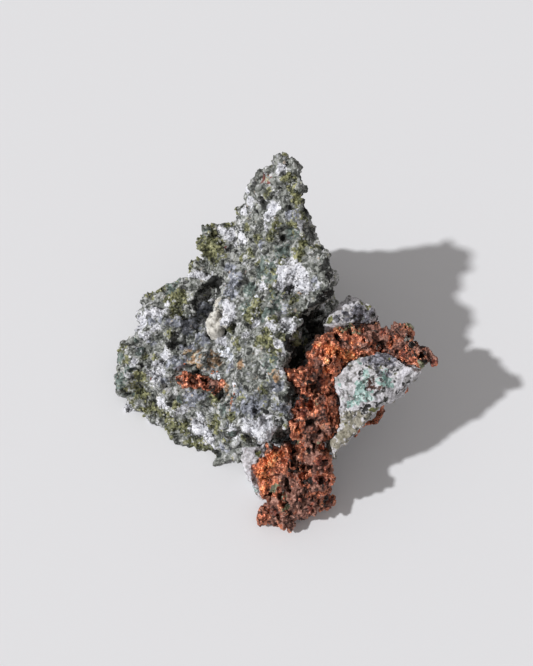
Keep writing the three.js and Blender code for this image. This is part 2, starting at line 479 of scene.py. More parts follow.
def scatterTree(name, subdivisions):
    # Small bodies standing on a carrier wherever its named mineral's share passes the threshold.
    inputs = {
        "Geometry": "Geometry",
        "Mineral": "String",
        "Spacing": 0.9 * mm,
        "Least Size": 0.3 * mm,
        "Most Size": 0.6 * mm,
        "Threshold": 0.5,
        "Seed": "Int",
        "Material": "Material",
    }
    tree, given, made = newGroup(name, "GeometryNodeTree", inputs, {"Geometry": "Geometry"})
    kind = "GeometryNodeInputNamedAttribute"
    share = addNode(tree, kind, {"Name": given["Mineral"]}, data_type="FLOAT").outputs["Attribute"]
    inputs = {
        "Mesh": given["Geometry"],
        "Seed": given["Seed"],
        "Distance Min": given["Spacing"],
        "Density Max": 4e6,  # to the square metre, before the spacing thins them
        "Density Factor": calc(tree, "GREATER_THAN", share, given["Threshold"]),
    }
    kind = "GeometryNodeDistributePointsOnFaces"
    points = addNode(tree, kind, inputs, distribute_method="POISSON").outputs["Points"]
    ball = {"Radius": 0.5, "Subdivisions": subdivisions}  # as wide as its scale says
    turn = {"Max": (6.28, 6.28, 6.28), "Seed": given["Seed"]}  # whole turns about each axis
    least, most = (sameThrice(tree, given[key]) for key in ("Least Size", "Most Size"))
    inputs = {
        "Points": points,
        "Instance": addNode(tree, "GeometryNodeMeshIcoSphere", ball).outputs["Mesh"],
        "Rotation": randomVector(tree, turn),
        "Scale": randomVector(tree, {"Min": least, "Max": most}),
    }
    placed = addNode(tree, "GeometryNodeInstanceOnPoints", inputs).outputs[0]
    tone = randomVector(tree, {})
    placed = storeValue(tree, placed, "tone", tone, domain="INSTANCE", dataType="FLOAT_VECTOR")
    placed = storeValue(tree, placed, "stand", 1.0, domain="INSTANCE")
    dents = noise(tree, position(tree), 1800.0, 0.0, "Color")  # about half a millimetre wide
    depth = calc(tree, "MULTIPLY", given["Most Size"], 0.8)
    shape = moveShape(tree, realize(tree, placed), leaning(tree, dents, depth))
    return endTree(tree, shape, given["Material"], made)


trees = {
    "knobs": knobTree(),
    "grains": grainTree("roundGrains", "EUCLIDEAN"),
    "hackle": grainTree("hackle", "CHEBYCHEV"),
    "grainScatter": scatterTree("grainScatter", 2),
    "crystalScatter": scatterTree("crystalScatter", 1),
}
print("node trees built")


# Materials.


def paint(red, green, blue):
    # A colour read in steps of 255, as the shader wants it.
    values = [c / 255 for c in (red, green, blue)]
    return tuple(c / 12.92 if c <= 0.04045 else ((c + 0.055) / 1.055) ** 2.4 for c in values) + (1,)


def newMaterial(name):
    # A new material, its tree, and the sockets of its shader.
    material = bpy.data.materials.new(name)
    material.use_nodes = True
    return material, material.node_tree, material.node_tree.nodes["Principled BSDF"].inputs


def objectPlace(tree):
    return addNode(tree, "ShaderNodeTexCoord").outputs["Object"]


def mineralGroup():
    # Turns a mineral's smooth share into grains: a grain belongs to it where the share and the
    # grain's own random tone together pass one half.
    inputs = {"Share": 0, "Tone": 0.5, "Fleck": 0.5, "Spread": 1.0, "Everywhere": 0, "Edge": 0.1}
    tree, given, made = newGroup("mineralGrains", "ShaderNodeTree", inputs, {"Mask": "Float"})
    ragged = noise(tree, objectPlace(tree), 900.0, 3.0)  # about a millimetre wide
    chance = calc(tree, "SUBTRACT", calc(tree, "ADD", given["Tone"], given["Fleck"]), 1.0)
    spread = calc(tree, "MULTIPLY", given["Spread"], 0.5)
    level = calc(tree, "MULTIPLY_ADD", chance, spread, given["Share"])
    level = calc(tree, "ADD", level, given["Everywhere"])
    level = calc(tree, "ADD", level, calc(tree, "SUBTRACT", ragged, 0.5))
    low = calc(tree, "SUBTRACT", 0.5, given["Edge"])
    high = calc(tree, "ADD", 0.5, given["Edge"])
    fillInputs(tree, made, {"Mask": smoothStep(tree, level, low, high)})
    return tree


def fleckGroup():
    # Random values for flecks finer than a grain, a light-to-dark drift and a few glints.
    inputs = {"Tone": 0.5, "Size": 0.46 * mm, "Cloud Size": 1.8 * mm, "Glints": 0.05}
    outputs = dict.fromkeys(("Drift", "Fleck", "Other", "Glint"), "Float")
    tree, given, made = newGroup("flecks", "ShaderNodeTree", inputs, outputs)
    place = objectPlace(tree)
    cell = parts(tree, voronoi(tree, place, perMetre(tree, given["Size"]))["Color"])
    cloud = noise(tree, place, perMetre(tree, given["Cloud Size"]), 4.0)
    contrast = 1.8
    cloud = calc(tree, "MULTIPLY_ADD", calc(tree, "SUBTRACT", cloud, 0.5), contrast, 0.5)
    cellPart, grainPart, cloudPart = 0.36, 0.32, 0.32
    drift = calc(tree, "MULTIPLY", cell[0], cellPart)
    drift = calc(tree, "MULTIPLY_ADD", given["Tone"], grainPart, drift)
    drift = calc(tree, "MULTIPLY_ADD", cloud, cloudPart, drift, clamp=True)
    glint = calc(tree, "GREATER_THAN", cell[2], calc(tree, "SUBTRACT", 1.0, given["Glints"]))
    fillInputs(tree, made, {"Drift": drift, "Fleck": cell[1], "Other": cell[2], "Glint": glint})
    return tree


def mixColour(tree, factor, first, second):
    inputs = {0: factor, 6: first, 7: second}  # the node's colour sockets
    return addNode(tree, "ShaderNodeMix", inputs, data_type="RGBA").outputs[2]


def mixValue(tree, factor, first, second):
    inputs = {0: factor, 2: first, 3: second}  # and its plain ones
    return addNode(tree, "ShaderNodeMix", inputs, data_type="FLOAT").outputs[0]


def hollowShadeGroup():
    # Paints shade into a colour where the surface lies deep between its grains.
    inputs = {"Colour": "Color", "Stand": 1, "Dark": "Color", "Depth": 0.6}
    tree, given, made = newGroup("hollowShade", "ShaderNodeTree", inputs, {"Colour": "Color"})
    # Painted shade: darkest at the bottom of a hollow, fading out at the depth given.
    darkest, most = 0.05, 0.8  # the stand where it's darkest, and how much of the dark it then has
    deep = calc(tree, "SUBTRACT", 1.0, smoothStep(tree, given["Stand"], darkest, given["Depth"]))
    mixed = mixColour(tree, calc(tree, "MULTIPLY", deep, most), given["Colour"], given["Dark"])
    fillInputs(tree, made, {"Colour": mixed})
    return tree


def facetGroup():
    # Tilts the normal by a random amount in each small cell, as crystal faces do.
    inputs = {"Size": 0.5 * mm, "Tilt": 0.5}
    tree, given, made = newGroup("facetNormal", "ShaderNodeTree", inputs, {"Normal": "Vector"})
    cells = voronoi(tree, objectPlace(tree), perMetre(tree, given["Size"]))["Color"]
    lean = leaning(tree, cells, given["Tilt"])
    normal = addNode(tree, "ShaderNodeNewGeometry").outputs["Normal"]
    tilted = vectorCalc(tree, "NORMALIZE", vectorCalc(tree, "ADD", normal, lean))
    fillInputs(tree, made, {"Normal": tilted})
    return tree


def seamGroup():
    # Thin bent dark seams between cells, which show only in patches: partly the stone's own dark cracks and
    # partly painted shade in them.
    inputs = {"Size": 1.2 * mm, "Width": 0.18, "Share": 0.5}
    tree, given, made = newGroup("seams", "ShaderNodeTree", inputs, {"Mask": "Float"})
    place = objectPlace(tree)
    scale = perMetre(tree, given["Size"])
    bends = noise(tree, place, scale, 3.0, "Color")
    lean = leaning(tree, bends, calc(tree, "MULTIPLY", given["Size"], 1.8))  # bent by up to a cell
    cells = voronoi(tree, vectorCalc(tree, "ADD", place, lean), scale, feature="DISTANCE_TO_EDGE")
    thin = calc(tree, "SUBTRACT", 1.0, smoothStep(tree, cells["Distance"], 0.0, given["Width"]))
    patch = noise(tree, place, calc(tree, "MULTIPLY", scale, 0.45), 2.0)  # about two cells wide
    noSeams, reach, rim = 0.66, -0.4, 0.08  # the noise level for no share, and how far a full one goes
    low = calc(tree, "MULTIPLY_ADD", given["Share"], reach, noSeams)
    shown = smoothStep(tree, patch, low, calc(tree, "ADD", low, rim))
    fillInputs(tree, made, {"Mask": calc(tree, "MULTIPLY", thin, shown)})
    return tree


groups = {
    "mineral": mineralGroup(),
    "flecks": fleckGroup(),
    "hollow": hollowShadeGroup(),
    "facets": facetGroup(),
    "seams": seamGroup(),
}


def useGroup(tree, name, inputs):
    return addNode(tree, "ShaderNodeGroup", inputs, node_tree=groups[name]).outputs


def attribute(tree, name):
    return addNode(tree, "ShaderNodeAttribute", attribute_name=name).outputs


def variedColour(tree, drift, colours):
    # Runs through a mineral's colours from dark to light, over the middle of the drift.
    first, last = 0.22, 0.78
    ramp = addNode(tree, "ShaderNodeValToRGB", {"Fac": drift})
    stops = ramp.color_ramp.elements
    while len(stops) < len(colours):
        stops.new(0.5)
    for i, colour in enumerate(colours):
        stops[i].position = first + (last - first) * i / (len(colours) - 1)
        stops[i].color = paint(*colour)
    return ramp.outputs["Color"]


def mineralMask(tree, mineral, tone, fleck, everywhere):
    share = attribute(tree, mineral)["Fac"]
    inputs = {"Share": share, "Tone": tone, "Fleck": fleck, "Everywhere": everywhere}
    return useGroup(tree, "mineral", inputs)["Mask"]


# Painted shade in the hollows: the colour goes towards the look's shade colour where the surface stands low.
def paintHollowShade(tree, colour, look):
    stand = attribute(tree, "stand")["Fac"]
    inputs = {"Colour": colour, "Stand": stand, "Dark": look["shade"], "Depth": look["hollow"]}
    return useGroup(tree, "hollow", inputs)["Colour"]


def withSeamsAndShade(tree, colour, look):
    # The look's dark seams, partly real cracks and partly painted shade, and painted shade in its hollows,
    # laid over its minerals.
    seams = useGroup(tree, "seams", look["seams"])["Mask"]
    seams = calc(tree, "MULTIPLY", seams, look["seamDepth"])
    return paintHollowShade(tree, mixColour(tree, seams, colour, look["shade"]), look)


def fineNormal(tree, bump):
    # Facets a grain wide, roughened by a bump finer than the mesh.
    facets = useGroup(tree, "facets", {"Size": bump["size"], "Tilt": bump["tilt"]})["Normal"]
    fine = noise(tree, objectPlace(tree), 1 / bump["fine"], 3.0)
    inputs = {"Strength": 1.0, "Distance": bump["height"], "Height": fine, "Normal": facets}
    return addNode(tree, "ShaderNodeBump", inputs).outputs[0]


def stoneMaterial(name, look):
    # The look's layers are mineral -> (tone channel, everywhere, colours, roughness), in order.
    material, tree, shader = newMaterial(name)
    tone = parts(tree, attribute(tree, "tone")["Vector"])
    flecks = useGroup(tree, "flecks", {"Tone": tone[1], **look["flecks"]})
    colour = variedColour(tree, flecks["Drift"], look["base"])
    rough = look["roughness"]
    for mineral, (channel, everywhere, colours, layerRoughness) in look["layers"].items():
        fleck = flecks["Other" if channel else "Fleck"]
        mask = mineralMask(tree, mineral, tone[channel], fleck, everywhere)
        colour = mixColour(tree, mask, colour, variedColour(tree, flecks["Drift"], colours))
        rough = mixValue(tree, mask, rough, layerRoughness)
    fillInputs(tree, shader, {
        "Base Color": withSeamsAndShade(tree, colour, look),
        "Roughness": mixValue(tree, flecks["Glint"], rough, look["glintRoughness"]),
        "Normal": fineNormal(tree, look["bump"]),
    })
    return material


# Colours run from dark to light within each mineral. Everywhere is added to a mineral's share. Shade is the
# painted shade colour that seams and hollows go towards, and hollow is how far up the hollows that painted
# shade reaches.
rockLook = {
    "base": [(44, 46, 42), (108, 111, 105), (164, 166, 162), (214, 214, 217)],
    "shade": paint(22, 23, 19),
    "hollow": 0.38,
    "seams": {"Size": 1.2 * mm, "Share": 0.36},
    "seamDepth": 0.8,
    "roughness": 0.7,
    "flecks": {"Glints": 0.05},
    "glintRoughness": 0.16,
    "bump": {"size": 0.5 * mm, "tilt": 0.6, "fine": 0.4 * mm, "height": 0.3 * mm},
    "layers": {
        "teal": (0, -0.05, [(40, 52, 48), (98, 113, 107), (160, 172, 166)], 0.6),
        "steel": (1, 0.0, [(46, 49, 57), (120, 124, 135), (198, 201, 214)], 0.4),
        "rust": (0, 0.0, [(98, 74, 54), (178, 142, 106), (216, 204, 190)], 0.7),
        "olive": (1, 0.11, [(46, 50, 32), (110, 112, 76), (172, 171, 126)], 0.5),
        "white": (2, 0.09, [(156, 157, 164), (222, 223, 230), (250, 250, 255)], 0.8),
        "cream": (0, -0.04, [(164, 160, 150), (206, 201, 190), (228, 225, 218)], 0.6),
        "red": (0, -0.14, [(96, 50, 42), (140, 84, 74)], 0.6),
        # dark: near-black painted shadow for the crevice, deep recesses and shaded pits, with some of the
        # stone's own dark specks
        "dark": (2, -0.02, [(6, 7, 6), (14, 15, 13), (27, 28, 24)], 0.6),
    },
}

slabLook = {
    "base": [(146, 144, 144), (206, 204, 208), (236, 234, 240)],
    # shade: the painted shade colour of seams and hollows.
    "shade": paint(56, 56, 50),
    "hollow": 0.34,
    "seams": {"Size": 1.2 * mm, "Share": 0.25},
    "seamDepth": 0.8,
    "roughness": 0.8,
    "flecks": {"Glints": 0.02},
    "glintRoughness": 0.16,
    "bump": {"size": 0.4 * mm, "tilt": 0.4, "fine": 0.34 * mm, "height": 0.22 * mm},
    "layers": {
        "mint": (0, 0.03, [(88, 116, 110), (158, 190, 184), (214, 230, 228)], 0.6),
        "steel": (1, 0.04, [(44, 44, 50), (104, 104, 113), (176, 176, 188)], 0.45),
        "beige": (0, 0.0, [(118, 114, 98), (158, 152, 136), (176, 172, 160)], 0.8),
        "olive": (1, -0.01, [(46, 50, 26), (100, 102, 54), (142, 142, 90)], 0.5),
        # dark: near-black painted shadow where the slab meets the crevice and in its pits, with a few dark
        # specks of its own
        "dark": (2, -0.01, [(8, 8, 7), (26, 26, 23), (52, 52, 46)], 0.6),
        "red": (0, -0.05, [(46, 30, 26), (96, 62, 52)], 0.6),
        "white": (2, 0.0, [(160, 158, 162), (208, 206, 212), (228, 226, 234)], 0.8),
    },
}

rockMaterial = stoneMaterial("greenBasalt", rockLook)
slabMaterial = stoneMaterial("paleZeolite", slabLook)

copperLook = {
    "fresh": [(114, 60, 45), (206, 124, 95), (248, 172, 136)],
    # The lighter copy of fresh copper is a painted highlight for where it catches the sun; its mask also
    # keeps the metal there free of tarnish.
    "bright": [(166, 80, 50), (246, 142, 92), (255, 192, 136)],
    "dull": [(52, 33, 28), (142, 96, 83), (206, 157, 140)],
    # shade: the painted shade colour of seams and hollows, as in the stone looks.
    "shade": paint(12, 7, 5),
    "hollow": 0.6,
    "seams": {"Size": 1.0 * mm, "Share": 0.28},
    "seamDepth": 0.85,
    "metallic": 0.6,
    "roughness": 0.38,
    "glintRoughness": 0.24,
    "dulling": 0.22,  # the roughness that tarnish adds
    "tarnish": 0.7,  # how far it hides the metal
    "tarnished": 0.26,  # everywhere, as for the minerals
    # Painted highlight laid everywhere, as for the minerals.
    "highlightEverywhere": 0.04,
    "flecks": {"Size": 0.45 * mm, "Glints": 0.1},
    "bump": {"size": 0.5 * mm, "tilt": 0.8, "fine": 0.4 * mm, "height": 0.25 * mm},
    "speckles": {
        "olive": (1, -0.02, [(58, 62, 42), (110, 112, 84), (150, 150, 124)]),
        "white": (2, -0.02, [(96, 92, 86), (146, 142, 136)]),
        "red": (1, 0.02, [(50, 22, 17), (118, 56, 43), (178, 100, 80)]),
        # dark: painted shadow in the copper's gaps and pits
        "dark": (0, 0.02, [(20, 12, 9), (40, 25, 20)]),
    },
}


def copperMaterial(look):
    material, tree, shader = newMaterial("hacklyCopper")
    tone = parts(tree, attribute(tree, "tone")["Vector"])
    flecks = useGroup(tree, "flecks", {"Tone": tone[1], **look["flecks"]})
    drift = flecks["Drift"]
    palette = {name: variedColour(tree, drift, look[name]) for name in ("fresh", "bright", "dull")}
    brown = mineralMask(tree, "brown", tone[0], flecks["Fleck"], look["tarnished"])
    # Painted highlight on fresh copper, which also keeps tarnish off.
    bright = mineralMask(tree, "bright", tone[2], flecks["Fleck"], look["highlightEverywhere"])
    tarnish = calc(tree, "MULTIPLY", brown, calc(tree, "SUBTRACT", 1.0, bright))
    colour = mixColour(tree, bright, palette["fresh"], palette["bright"])
    colour = mixColour(tree, tarnish, colour, palette["dull"])
    metal = calc(tree, "SUBTRACT", 1.0, calc(tree, "MULTIPLY", tarnish, look["tarnish"]))
    for mineral, (channel, everywhere, colours) in look["speckles"].items():
        mask = mineralMask(tree, mineral, tone[channel], flecks["Other"], everywhere)
        colour = mixColour(tree, mask, colour, variedColour(tree, drift, colours))
        metal = calc(tree, "MULTIPLY", metal, calc(tree, "SUBTRACT", 1.0, mask))
    rough = calc(tree, "MULTIPLY_ADD", tarnish, look["dulling"], look["roughness"])
    fillInputs(tree, shader, {
        "Base Color": withSeamsAndShade(tree, colour, look),
        "Metallic": calc(tree, "MULTIPLY", metal, look["metallic"]),
        "Roughness": mixValue(tree, flecks["Glint"], rough, look["glintRoughness"]),
        "Normal": fineNormal(tree, look["bump"]),
    })
    return material


creamLook = {
    "base": [(166, 163, 157), (214, 210, 202), (240, 238, 233)],
    # shade and hollow: painted shade in the hollows, as in the stone looks.
    "shade": paint(112, 107, 96),
    "hollow": 0.6,
    "flecks": {"Size": 0.7 * mm, "Cloud Size": 2.4 * mm},
    "roughness": (0.35, 0.65),
    "bump": {"size": 0.8 * mm, "tilt": 0.3, "fine": 0.5 * mm, "height": 0.12 * mm},
}


def creamMaterial(look):
    material, tree, shader = newMaterial("creamCalcite")
    tone = parts(tree, attribute(tree, "tone")["Vector"])
    flecks = useGroup(tree, "flecks", {"Tone": tone[0], **look["flecks"]})
    colour = variedColour(tree, flecks["Drift"], look["base"])
    fillInputs(tree, shader, {
        "Base Color": paintHollowShade(tree, colour, look),
        "Roughness": mixValue(tree, flecks["Fleck"], *look["roughness"]),
        "Normal": fineNormal(tree, look["bump"]),
    })
    return material


clearLook = {
    "colour": paint(236, 240, 248),
    "flecks": {"Size": 0.3 * mm},
    "roughness": (0.08, 0.3),
    "facets": {"Size": 0.4 * mm, "Tilt": 0.9},
}


def clearMaterial(look):
    material, tree, shader = newMaterial("clearQuartz")
    flecks = useGroup(tree, "flecks", look["flecks"])
    fillInputs(tree, shader, {
        "Base Color": look["colour"],
        "Roughness": mixValue(tree, flecks["Fleck"], *look["roughness"]),
        "Normal": useGroup(tree, "facets", look["facets"])["Normal"],
    })
    return material


copper = copperMaterial(copperLook)
cream = creamMaterial(creamLook)
clear = clearMaterial(clearLook)
print("materials built")


def finishPiece(body, node):
    for polygon in body.data.polygons:
        polygon.use_smooth = True
    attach(body, "root")
    if node:
        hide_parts(node)
    triangles = sum(len(p.vertices) - 2 for p in body.data.polygons)
    print(f"{body.name}: {triangles} triangles")


def roughPiece(body, facts, placed, minerals, material):
    # A piece's full surface: lumps, pits and notches, then knobs, its mineral marks, and grains.
    addLumps(body, facts["lumps"])
    remesh(body, facts["coarse"], facts["smoothing"])
    digPits(body, facts["pits"])
    trimOutline(body, facts["trims"])
    addModifier(body, trees["knobs"], facts["knobs"])
    remesh(body, facts["voxel"])
    marks = placed + hiddenMarks(body, facts["hidden"], facts["seed"])
    paintMinerals(body, marks, minerals)
    addModifier(body, trees[facts["relief"]], {**facts["grains"], "Material": material})
    return plainMesh(body)


def scattered(name, carrier, treeName, values, material):
    body = meshObject(name, carrier.data.copy())
    addModifier(body, trees[treeName], {**values, "Material": material})
    return plainMesh(body)


# The basalt.

matrixRock = {
    "coarse": 0.6 * mm,
    "smoothing": 3,
    "voxel": 0.355 * mm,
    "seed": 5,
    "relief": "grains",
    "lumps": [
        (286, 288, 1.3), (290, 277, 2.4), (297, 273, 1.8), (297, 285, 1.8), (264, 431, 2.4),
        (254, 428, 1.8), (273, 432, 1.6), (258, 174, 1.8), (253, 181, 1.8), (249, 190, 1.6),
        (245, 198, 1.5), (237, 211, 1.5), (264, 169, 1.4), (303, 184, 1.5), (305, 192, 1.5),
        (306, 200, 1.5), (306, 208, 1.4), (288, 156, 1.3), (292, 156, 1.0), (299, 337, 1.9),
        (304, 333, 1.5), (291, 325, 1.2), (296, 320, 1.1), (284, 425, 0.9), (273, 446, 0.9),
        (204, 257, 1.3), (199, 263, 1.2), (208, 262, 1.2), (182, 391, 0.8), (196, 392, 0.8),
        (212, 397, 0.9), (190, 366, 0.7), (205, 367, 0.8), (222, 373, 0.8), (232, 391, 0.8),
        (176, 285, 1.8), (168, 289, 1.8), (330, 270, 1.0), (322, 297, 0.9), (119, 352, 1.1),
        (157, 294, 1.2), (306, 279, 1.0), (240, 207, 1.1), (207, 229, 1.2), (214, 243, 1.4),
        (179, 300, 1.3), (150, 326, 1.6), (246, 230, 1.0), (291, 276, 1.4), (262, 431, 1.5),
        (248, 372, 1.2), (127, 372, 1.6), (269, 347, 1.2), (236, 330, 1.3), (205, 330, 1.0),
        (213, 452, 0.8), (120, 392, 1.3), (273, 288, 1.1),
    ],
    "pits": [
        (203, 320, 15, 1.8), (188, 339, 12, 1.5), (232, 398, 12, 1.2), (217, 284, 7, 4.2),
        (209, 291, 8, 4.4), (201, 299, 8, 4.2), (195, 306, 6, 3.2), (288, 350, 5, 2.5), (331, 297, 6, 3.5),
        (323, 306, 6, 3), (313, 318, 6, 3), (309, 324, 4, 2.5), (295, 357, 5, 2.5), (317, 306, 5, 3.5),
        (310, 312, 4, 3), (325, 300, 5, 3), (176, 336, 4, 1.8), (173, 346, 4, 1.6), (181, 347, 3, 1),
        (166, 385, 4, 1.4), (283, 422, 6, 2.2), (256, 229, 3, 1.2), (251, 240, 4, 1.4), (255, 212, 3, 1.2),
        (305, 300, 3, 0.8), (247, 205, 3, 0.8), (286, 335, 4, 1.2), (243, 350, 3, 0.9), (210, 370, 4, 0.8),
        (231, 300, 3, 0.8), (192, 326, 4, 1), (268, 396, 3, 0.9), (238, 437, 3, 1), (144, 357, 3, 0.9),
        (262, 262, 3, 0.8), (285, 300, 3, 0.8), (296, 240, 3, 0.8), (283, 195, 3, 0.8), (190, 410, 3, 0.8),
        (151, 396, 3, 0.9), (225, 262, 3, 0.9),
    ],
    "trims": [
        (322, 221, 12), (331, 241, 12), (339, 259, 12), (343, 272, 9), (305, 158, 9), (181, 266, 12),
        (145, 430, 12), (112, 341, 9),
    ],
    "knobs": {"Bend Size": 5.5 * mm, "Bend": 0.45 * mm, "Knob Size": 3.6 * mm, "Knob Height": 2.4 * mm},
    "grains": {
        "Grain Size": 1.35 * mm, "Grain Height": 0.85 * mm, "Step": 0.7, "Warp": 0.9,
        "Pit Size": 3.0 * mm, "Pit Depth": 1.2 * mm, "Pit Share": 0.32,
        "Fine Size": 0.6 * mm, "Fine Height": 0.4 * mm, "Sink": 0.05 * mm,
    },
    "hidden": {
        "tries": 360,
        "radius": (1.0, 2.2),  # in mm
        "shares": {"plain": 4, "teal": 3, "steel": 2, "olive": 4, "white": 3.5, "rust": 0.6, "dark": 1.5},
    },
}

rockMarks = {
    "plain": {
        6: [(288, 199), (192, 288)],
        5: [(210, 360), (203, 353), (287, 160), (157, 293), (315, 297), (246, 349), (162, 420), (148, 400),
            (306, 262), (170, 390), (238, 420), (250, 378)],
        4: [(216, 355), (197, 356), (128, 380), (128, 397), (137, 403), (200, 358), (110, 366), (283, 190),
            (265, 249), (147, 303), (176, 431), (130, 390), (224, 447), (232, 262), (186, 312), (238, 300),
            (146, 365)],
        3: [(214, 363), (190, 354), (208, 351), (258, 172), (247, 197)],
    },
    "teal": {
        8: [(265, 266)],
        7: [(271, 296), (249, 290), (278, 308), (269, 364)],
        6: [(262, 271), (270, 279), (265, 314), (283, 252), (172, 288)],
        5: [(275, 269), (291, 234), (246, 308), (224, 410), (301, 334), (124, 385), (129, 368)],
        4: [(298, 335), (259, 280), (117, 361), (112, 373), (205, 402), (233, 436), (215, 453), (122, 398),
            (133, 395), (140, 408), (140, 352), (120, 355), (118, 378), (208, 230)],
        3: [(303, 332), (247, 186), (181, 399), (132, 340), (187, 276), (116, 384)],
    },
    "steel": {
        8: [(233, 280), (248, 405)],
        7: [(231, 290)],
        6: [(205, 312), (197, 324), (240, 394), (252, 411), (198, 312), (274, 386), (280, 411)],
        5: [(206, 335), (186, 345), (236, 408), (260, 403), (183, 322), (170, 322), (190, 396), (190, 403),
            (229, 268), (204, 309), (192, 320), (187, 332), (199, 336), (183, 347), (232, 367), (261, 247),
            (179, 363), (293, 213), (224, 449), (205, 366), (262, 400)],
        4: [(164, 382), (151, 320), (160, 321), (151, 342), (176, 361), (203, 396), (167, 364), (204, 344),
            (193, 346), (286, 304), (292, 408), (297, 418), (283, 312), (188, 358), (290, 214)],
        3: [(140, 331), (314, 281), (316, 289), (222, 302)],
    },
    "rust": {
        4: [(186, 352), (190, 362), (203, 367), (196, 365), (275, 373), (190, 359), (224, 388)],
        3.5: [(218, 361), (199, 357)],
        3: [(212, 368), (208, 363), (214, 353), (192, 354), (196, 352), (206, 357), (255, 390), (241, 365),
            (266, 179), (213, 362), (277, 378), (298, 293)],
        2.5: [(204, 349), (216, 359), (188, 350), (201, 363), (212, 352), (231, 407), (186, 354)],
        2: [(222, 353)],
    },
    "olive": {
        7: [(215, 243), (178, 299)],
        6: [(212, 258), (139, 393), (163, 416), (150, 405)],
        5: [(203, 236), (202, 248), (294, 190), (184, 428), (178, 310), (234, 330), (218, 421), (152, 413),
            (128, 389), (172, 430), (195, 442), (141, 411), (170, 424), (214, 402), (160, 282), (174, 302)],
        4: [(208, 226), (226, 222), (287, 177), (293, 226), (303, 242), (272, 271), (282, 262), (271, 298),
            (261, 304), (248, 311), (170, 334), (293, 298), (251, 322), (270, 348), (276, 351), (293, 342),
            (197, 262), (271, 237), (224, 439), (241, 440), (317, 243), (262, 392), (240, 398), (165, 296),
            (256, 340), (239, 343), (266, 330), (296, 199), (304, 216), (200, 448), (176, 406), (127, 362),
            (121, 349), (185, 271), (150, 292), (276, 226), (299, 254), (255, 300), (263, 311), (273, 321),
            (281, 336), (266, 341), (258, 240), (208, 401), (230, 418), (213, 429), (189, 268), (140, 376)],
        3: [(239, 208), (235, 213), (257, 262), (266, 291), (246, 228), (145, 357), (155, 358), (299, 343),
            (250, 253), (228, 330), (216, 232), (132, 404), (116, 372), (268, 194), (243, 259), (305, 341),
            (299, 345), (248, 318), (286, 292), (291, 302), (299, 262), (276, 214)],
        2.5: [(264, 263), (271, 287)],
        2: [(122, 402), (286, 424), (276, 281)],
    },
    # Painted shadow: the crevice beside the copper, the deep recess on the left and the shaded pits.
    "dark": {
        7: [(215, 284), (207, 291), (200, 299), (300, 352), (325, 304), (332, 296)],
        6: [(194, 307), (314, 311), (296, 359), (313, 328), (318, 312), (309, 318), (300, 352)],
        5: [(326, 264), (304, 321), (290, 362), (311, 340), (287, 347), (309, 348), (291, 447), (320, 300),
            (274, 444), (317, 309)],
        4: [(322, 304), (328, 300), (176, 336), (173, 346), (307, 197), (307, 210), (324, 250), (331, 275),
            (337, 289), (312, 306), (318, 303), (187, 342), (283, 420), (293, 372), (284, 433)],
        3: [(314, 304), (309, 326), (291, 346), (308, 343), (303, 178), (306, 312), (194, 316), (198, 330),
            (180, 352), (226, 402), (258, 398), (247, 402), (286, 340), (245, 388), (263, 411), (238, 404),
            (221, 396), (276, 421), (166, 386), (288, 398), (293, 350), (192, 316), (287, 336), (290, 390)],
        2.5: [(207, 345), (262, 298), (275, 300), (268, 308), (256, 288), (280, 312), (242, 268),
            (235, 288), (226, 272), (256, 416), (230, 396), (251, 240), (170, 404), (213, 370), (296, 306)],
        2: [(256, 212), (181, 347), (280, 398), (255, 225), (237, 250)],
    },
    "white": {
        10: [(290, 277)],
        9: [(262, 428)],
        7: [(266, 434), (156, 372), (271, 433)],
        6: [(287, 272), (294, 279), (267, 213), (297, 284), (296, 270), (255, 432), (143, 323), (162, 405),
            (249, 428), (197, 427), (206, 436)],
        5: [(301, 276), (299, 284), (227, 234), (240, 236), (284, 283), (153, 312), (223, 340), (288, 326),
            (270, 327)],
        4.5: [(263, 225)],
        4: [(304, 281), (291, 287), (280, 168), (246, 209), (274, 207), (208, 275), (283, 287), (161, 311),
            (146, 337), (156, 328), (228, 311), (205, 322), (297, 320), (257, 325), (279, 344), (162, 353),
            (132, 363), (243, 422), (230, 427), (197, 419), (211, 442), (181, 411), (314, 287), (261, 285),
            (210, 325), (227, 322), (225, 303), (230, 306), (232, 317)],
        3.5: [(239, 217), (198, 274)],
        3: [(306, 289), (303, 270), (286, 266), (250, 191), (251, 202), (222, 230), (234, 241), (301, 224),
            (166, 303), (136, 333), (168, 355), (226, 356), (232, 386), (285, 320), (283, 355), (297, 419),
            (265, 284), (226, 355), (211, 300), (206, 328), (281, 371), (246, 334)],
        2.5: [(192, 275), (213, 369), (292, 408)],
        2: [(217, 375), (242, 383), (300, 347)],
    },
    "cream": {4: [(218, 302), (218, 322)], 3: [(219, 312), (209, 319), (226, 329), (213, 330)]},
    "metal": {
        2: [(176, 384), (208, 389), (232, 386), (178, 370), (174, 377), (206, 384), (227, 390), (232, 403)],
        1.5: [(171, 378), (182, 366), (215, 372), (172, 388), (224, 414), (233, 393), (201, 388),
            (186, 368)],
    },
    "clear": {
        3.5: [(226, 355)],
        3: [(229, 358)],
        2.5: [(222, 353)],
        1.5: [(242, 382), (236, 279)],
        1.2: [(219, 376), (270, 284), (242, 313), (257, 297)],
    },
    "red": {
        3.5: [(267, 179)],
        3: [(262, 178)],
        2.6: [(156, 345)],
        1.8: [(151, 379), (246, 272)],
        1.6: [(226, 247)],
    },
}

rockPlaced = placeMarks(rockMarks)
rock = weldedCopy("matrix_rock", "matrixRock")
rock = roughPiece(rock, matrixRock, rockPlaced, mineralsOf(rockMarks), rockMaterial)
finishPiece(rock, "matrix_rock")


# The pale slab.

